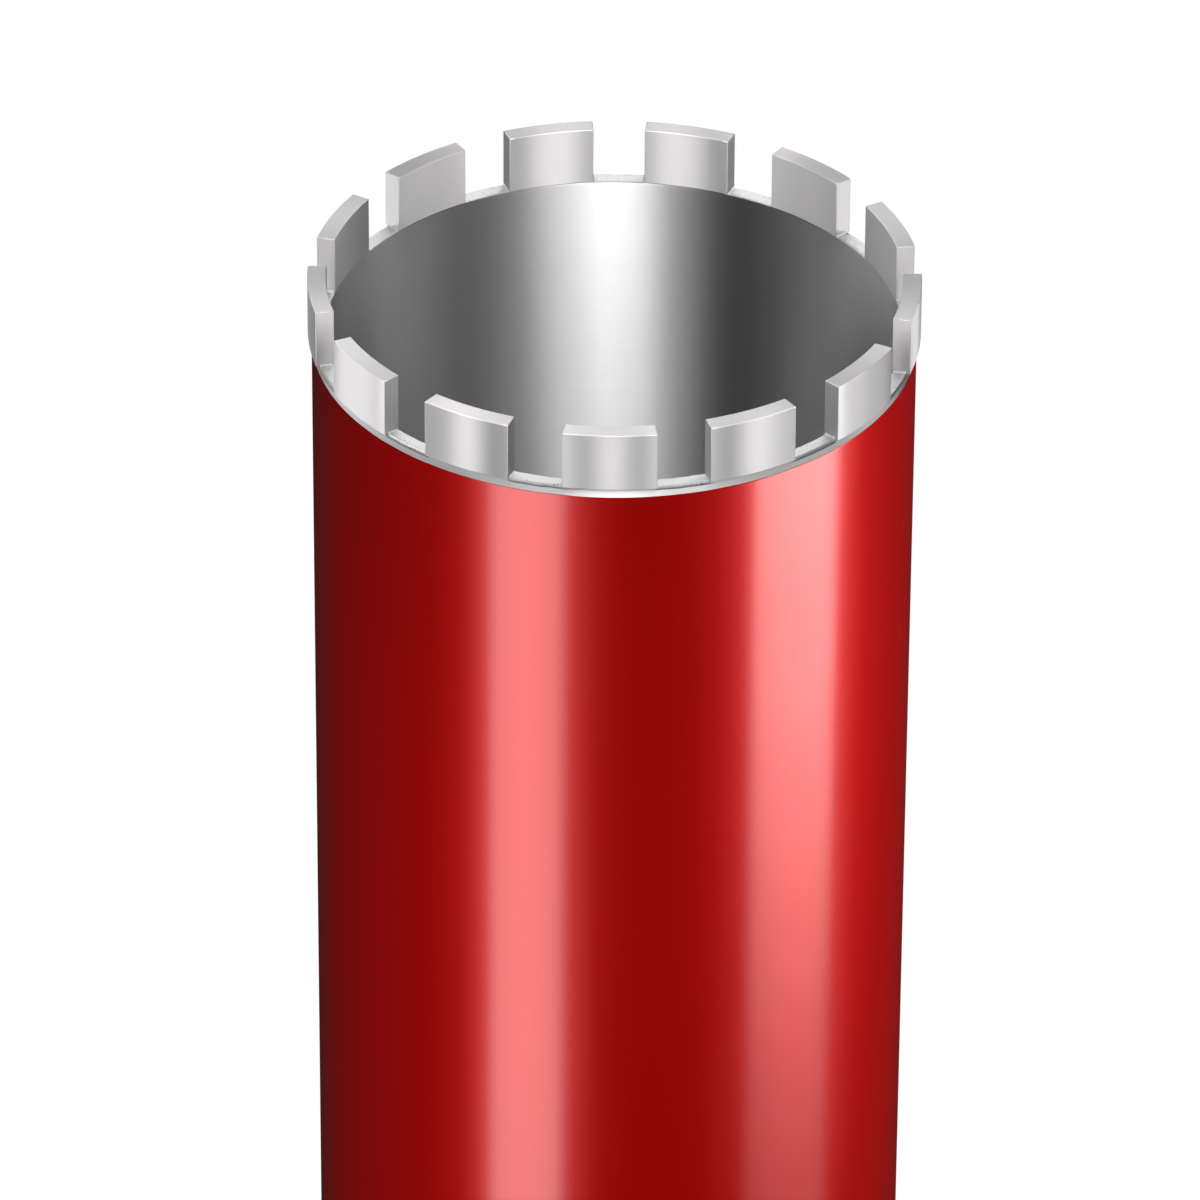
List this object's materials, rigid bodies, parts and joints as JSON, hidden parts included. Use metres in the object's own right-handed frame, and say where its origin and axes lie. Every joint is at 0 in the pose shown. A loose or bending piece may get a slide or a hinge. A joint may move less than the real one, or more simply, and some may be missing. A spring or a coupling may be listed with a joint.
{
  "type": "diamond core bit",
  "caption": "Wet core bit: a painted steel tube crowned with curved diamond segments, closed by a welded back plate with a threaded hexagonal hub for the drill spindle.",
  "frame": {"origin": "middle of the hub's end face, on the bit's axis; the bit stands on this face", "axes": "+Z along the bit's axis towards the segments, -Z out of the hub's mouth; the first segment is centred on -Y"},
  "size_m": [0.162, 0.1616, 0.5085],
  "materials": {
    "red_paint": "gloss red enamel on the outside of the tube and back plate; the tube's bore and rim are bare",
    "turned_steel": "turned and milled bare steel",
    "diamond_segment": "sintered metal bond, satin, ground on its curved faces",
    "silver_braze": "bright silver braze as it set"
  },
  "bodies": {
    "root": {"core_tube": "red_paint", "back_plate": "red_paint", "spindle_hub": "turned_steel", "tube_weld": "red_paint", "hub_weld": "red_paint", "segment_01": "diamond_segment", "segment_02": "diamond_segment", "segment_03": "diamond_segment", "segment_04": "diamond_segment", "segment_05": "diamond_segment", "segment_06": "diamond_segment", "segment_07": "diamond_segment", "segment_08": "diamond_segment", "segment_09": "diamond_segment", "segment_10": "diamond_segment", "segment_11": "diamond_segment", "segment_12": "diamond_segment", "segment_13": "diamond_segment", "braze_01": "silver_braze", "braze_02": "silver_braze", "braze_03": "silver_braze", "braze_04": "silver_braze", "braze_05": "silver_braze", "braze_06": "silver_braze", "braze_07": "silver_braze", "braze_08": "silver_braze", "braze_09": "silver_braze", "braze_10": "silver_braze", "braze_11": "silver_braze", "braze_12": "silver_braze", "braze_13": "silver_braze"}
  },
  "joints": []
}
